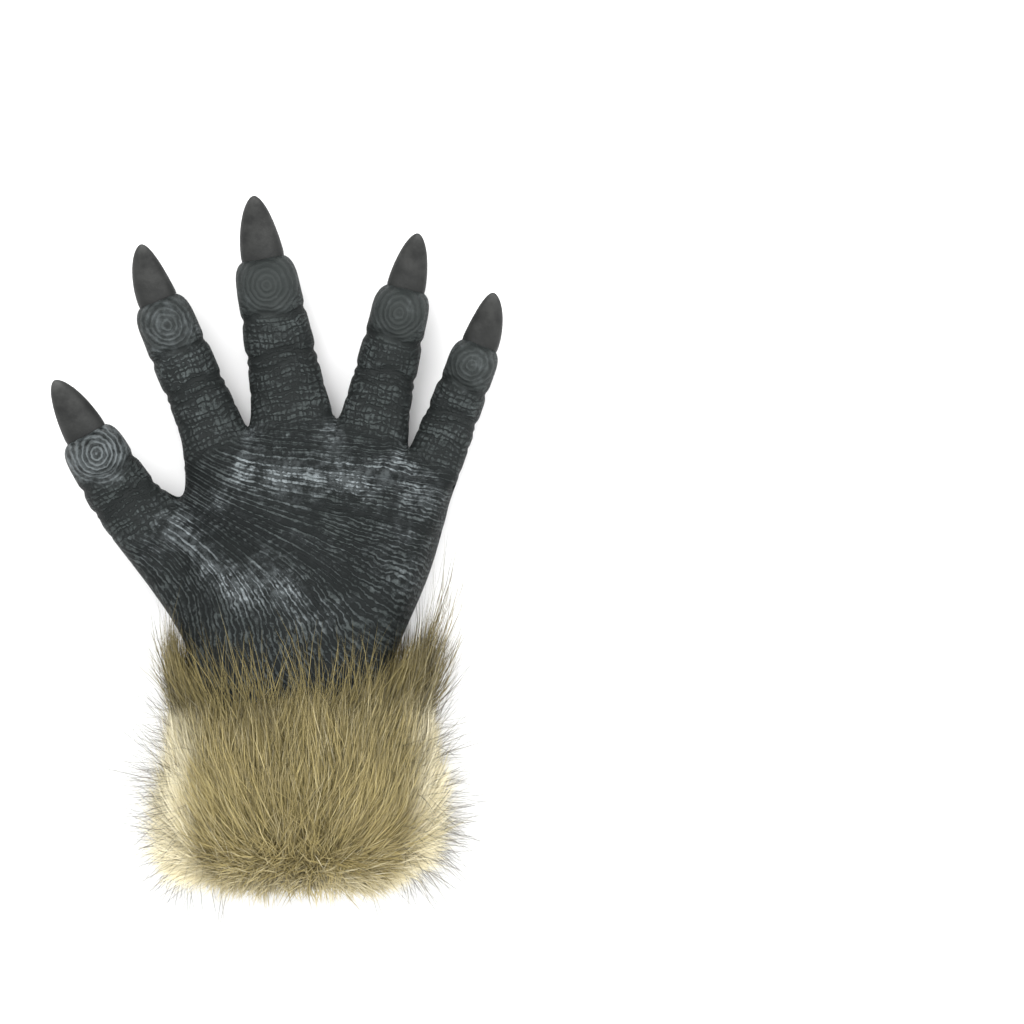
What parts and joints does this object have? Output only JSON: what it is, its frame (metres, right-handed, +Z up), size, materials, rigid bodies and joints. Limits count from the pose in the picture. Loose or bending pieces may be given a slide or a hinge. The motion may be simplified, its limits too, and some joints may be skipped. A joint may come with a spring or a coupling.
{
  "type": "werewolf costume glove",
  "caption": "Left-hand werewolf costume glove: hollow wrinkled latex hand with whorled finger pads and long claws, and a deep fur cuff open at the wrist.",
  "frame": {"origin": "on the floor, under the middle of the cuff, on the flat underside of the fur that the cuff rests on", "axes": "+Y from the cuff to the fingers, +X from the thumb side to the little finger, +Z up out of the palm"},
  "size_m": [0.1893, 0.3101, 0.0769],
  "materials": {
    "black_latex": "satin moulded latex, dry-brushed grey on its wrinkles",
    "claw_latex": "matte dark grey",
    "tan_fur": "long tan faux fur with dark tips"
  },
  "bodies": {
    "root": {"latex_hand": "black_latex", "claw_index": "claw_latex", "claw_middle": "claw_latex", "claw_ring": "claw_latex", "claw_little": "claw_latex", "claw_thumb": "claw_latex", "fur_cuff": "tan_fur"}
  },
  "joints": []
}
